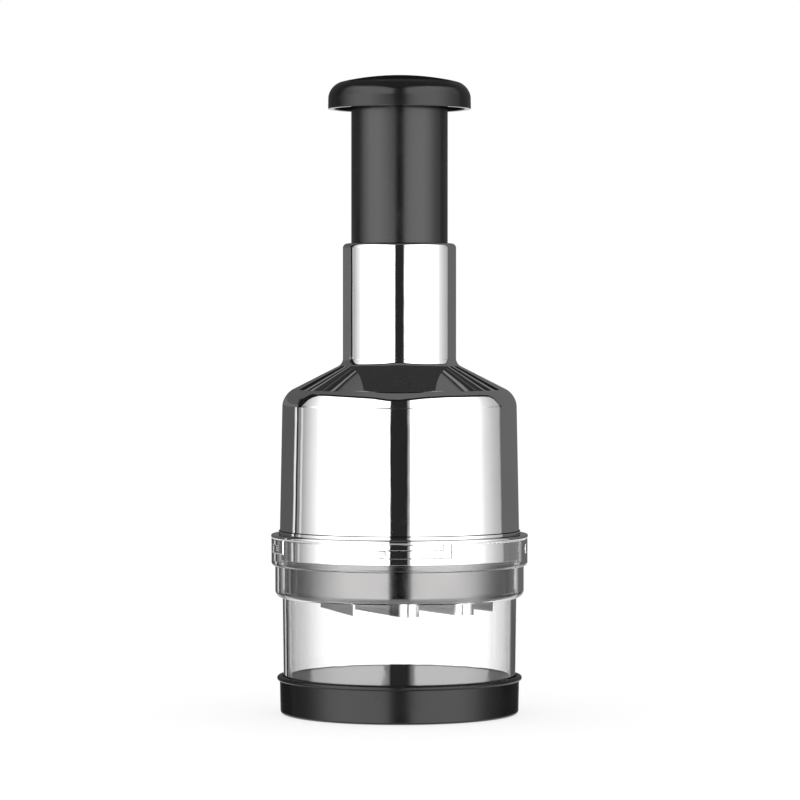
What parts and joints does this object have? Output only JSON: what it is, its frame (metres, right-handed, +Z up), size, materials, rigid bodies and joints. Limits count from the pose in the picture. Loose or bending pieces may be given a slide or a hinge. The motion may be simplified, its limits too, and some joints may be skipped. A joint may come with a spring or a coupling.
{
  "type": "plunger food chopper",
  "caption": "Hand food chopper: domed knob and stem press a turning zigzag blade through a slotted guard into a clear cup on a black tray.",
  "frame": {"origin": "centre of the tray's underside", "axes": "+Z up along the chopper's axis, -Y the front"},
  "size_m": [0.0928, 0.0928, 0.23],
  "materials": {
    "black_plastic": "semi-gloss moulded black plastic",
    "clear_plastic": "clear moulded plastic",
    "plated_steel": "mirror-bright plated sheet",
    "turned_steel": "turned stainless steel",
    "spring_steel": "drawn spring wire",
    "blade_steel": "satin stainless strip with ground edge",
    "frame_plastic": "dark moulded plastic",
    "bearing_plastic": "natural acetal"
  },
  "bodies": {
    "base": {"base_tray": "black_plastic"},
    "cup": {"clear_cup": "clear_plastic"},
    "housing": {"steel_shell": "plated_steel", "trim_ring": "plated_steel", "bayonet_lugs": "turned_steel", "inner_frame": "frame_plastic", "guide_sleeve": "bearing_plastic", "index_nut": "bearing_plastic", "ratchet_ring": "bearing_plastic", "tower_cap": "frame_plastic", "spring_seat": "turned_steel"},
    "plunger": {"stem": "black_plastic", "knob": "black_plastic", "knob_screws": "turned_steel", "return_spring": "spring_steel", "spring_washer": "turned_steel"},
    "blade": {"spindle": "turned_steel", "spindle_washer": "turned_steel", "spindle_screw": "turned_steel", "blade_holder": "frame_plastic", "hub_pin": "turned_steel", "zigzag_blade": "blade_steel"},
    "guard": {"guard_cup": "black_plastic"}
  },
  "joints": [
    {"name": "cup_lift", "type": "slide", "parent": "base", "child": "cup", "axis": [0, 0, 1], "range_m": [0, 0.06]},
    {"name": "housing_twist", "type": "hinge", "parent": "cup", "child": "housing", "pos_m": [0, 0, 0.0635], "axis": [0, 0, 1], "range_deg": [0, 30]},
    {"name": "plunger_press", "type": "slide", "parent": "housing", "child": "plunger", "axis": [0, 0, -1], "range_m": [0, 0.0235], "stiffness_N_per_m": 800, "springref_m": -0.01, "deforming": ["return_spring"]},
    {"name": "blade_turn", "type": "hinge", "parent": "plunger", "child": "blade", "pos_m": [0, 0, 0.2217], "axis": [0, 0, 1], "range_deg": [0, 45]},
    {"name": "guard_turn", "type": "hinge", "parent": "housing", "child": "guard", "pos_m": [0, 0, 0.0603], "axis": [0, 0, 1], "range_deg": [0, 45]}
  ],
  "couplings": [
    {"joint": "blade_turn", "follows": "plunger_press", "rad_per_m": 33.42},
    {"joint": "guard_turn", "follows": "plunger_press", "rad_per_m": 33.42}
  ]
}
